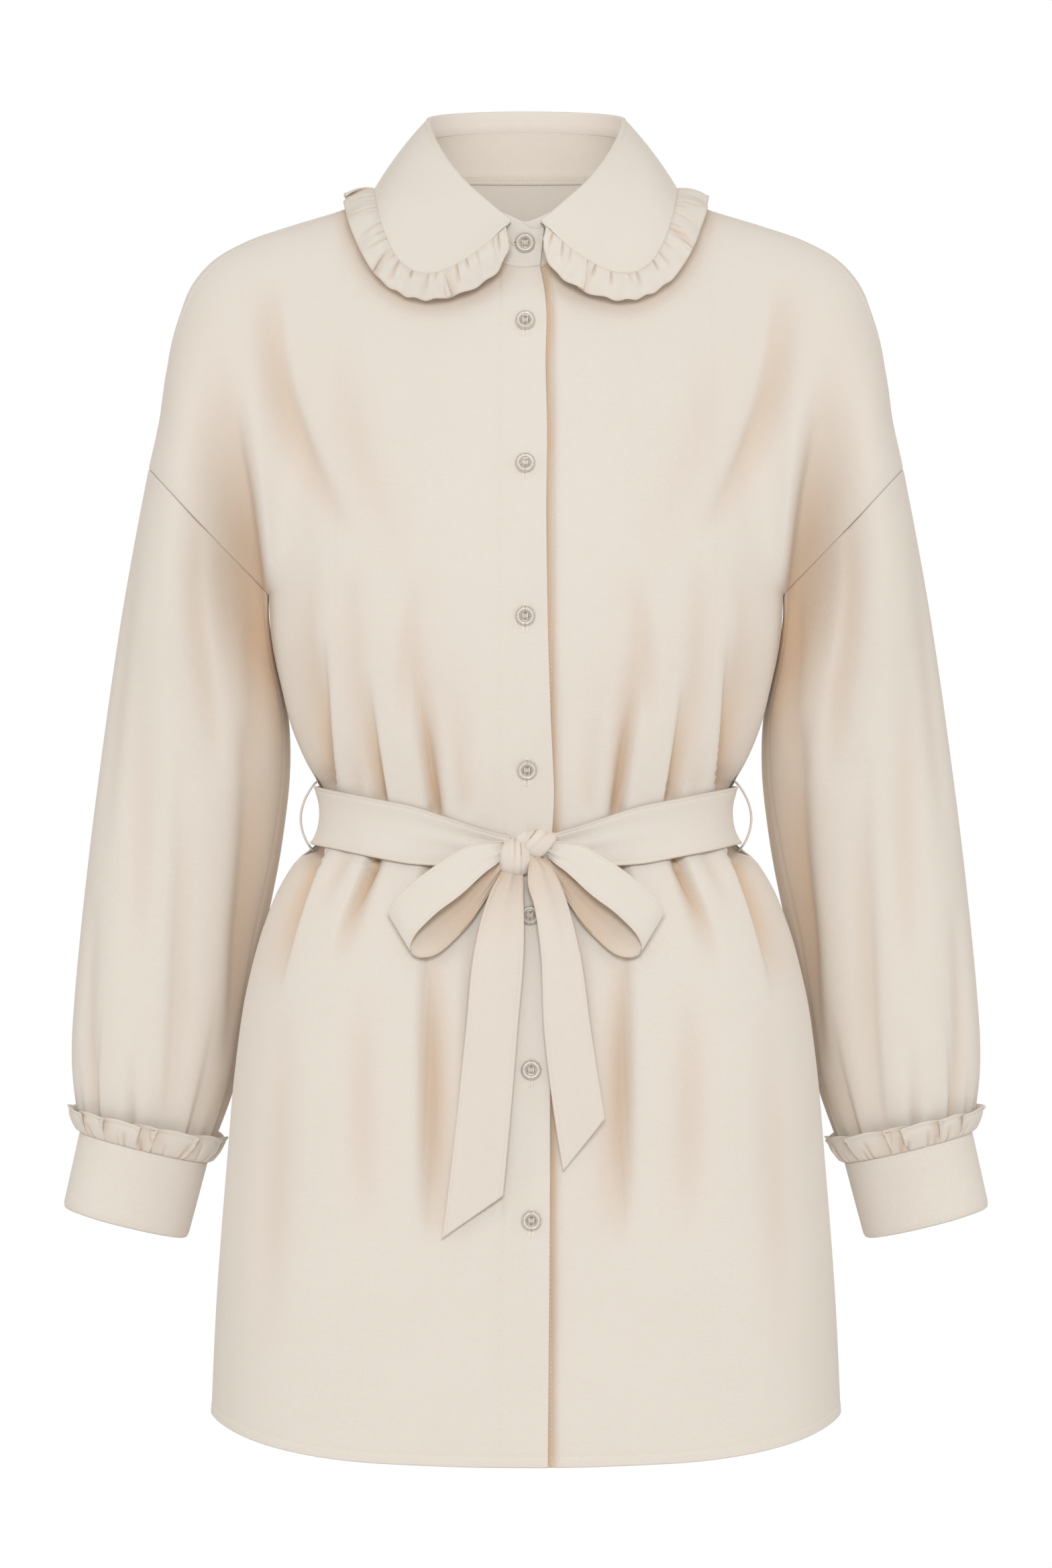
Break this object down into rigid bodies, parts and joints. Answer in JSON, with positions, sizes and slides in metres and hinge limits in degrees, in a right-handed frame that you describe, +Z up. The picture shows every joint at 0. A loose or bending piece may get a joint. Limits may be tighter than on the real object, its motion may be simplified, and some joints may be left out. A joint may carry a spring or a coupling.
{
  "type": "tunic top",
  "caption": "Belted tunic top with frilled rounded collar, full sleeves in frilled cuffs, buttoned front, bow-tied belt and curved hem, filled out as worn.",
  "frame": {"origin": "Midway between the wearer's shoulders, at the height of the highest points of the shoulder seams and just inside the cloth's neck opening", "axes": "+Z up along the standing wearer, -Y the way the wearer faces, +X to the wearer's left"},
  "size_m": [0.5566, 0.2625, 0.801],
  "materials": {
    "cloth": "plain woven, soft and matt with a faint sheen",
    "button": "clear and glossy"
  },
  "bodies": {
    "root": {"front_right": "cloth", "front_left": "cloth", "back": "cloth", "sleeve_right": "cloth", "sleeve_left": "cloth", "cuff_right": "cloth", "cuff_left": "cloth", "cuff_frill_right": "cloth", "cuff_frill_left": "cloth", "collar_stand": "cloth", "collar": "cloth", "collar_frill": "cloth", "belt": "cloth", "belt_knot": "cloth", "bow_loop_right": "cloth", "bow_loop_left": "cloth", "belt_tail_right": "cloth", "belt_tail_left": "cloth", "belt_loop_right": "cloth", "belt_loop_left": "cloth", "button_1": "button", "button_2": "button", "button_3": "button", "button_4": "button", "button_5": "button", "button_6": "button", "button_7": "button", "button_8": "button"}
  },
  "joints": []
}
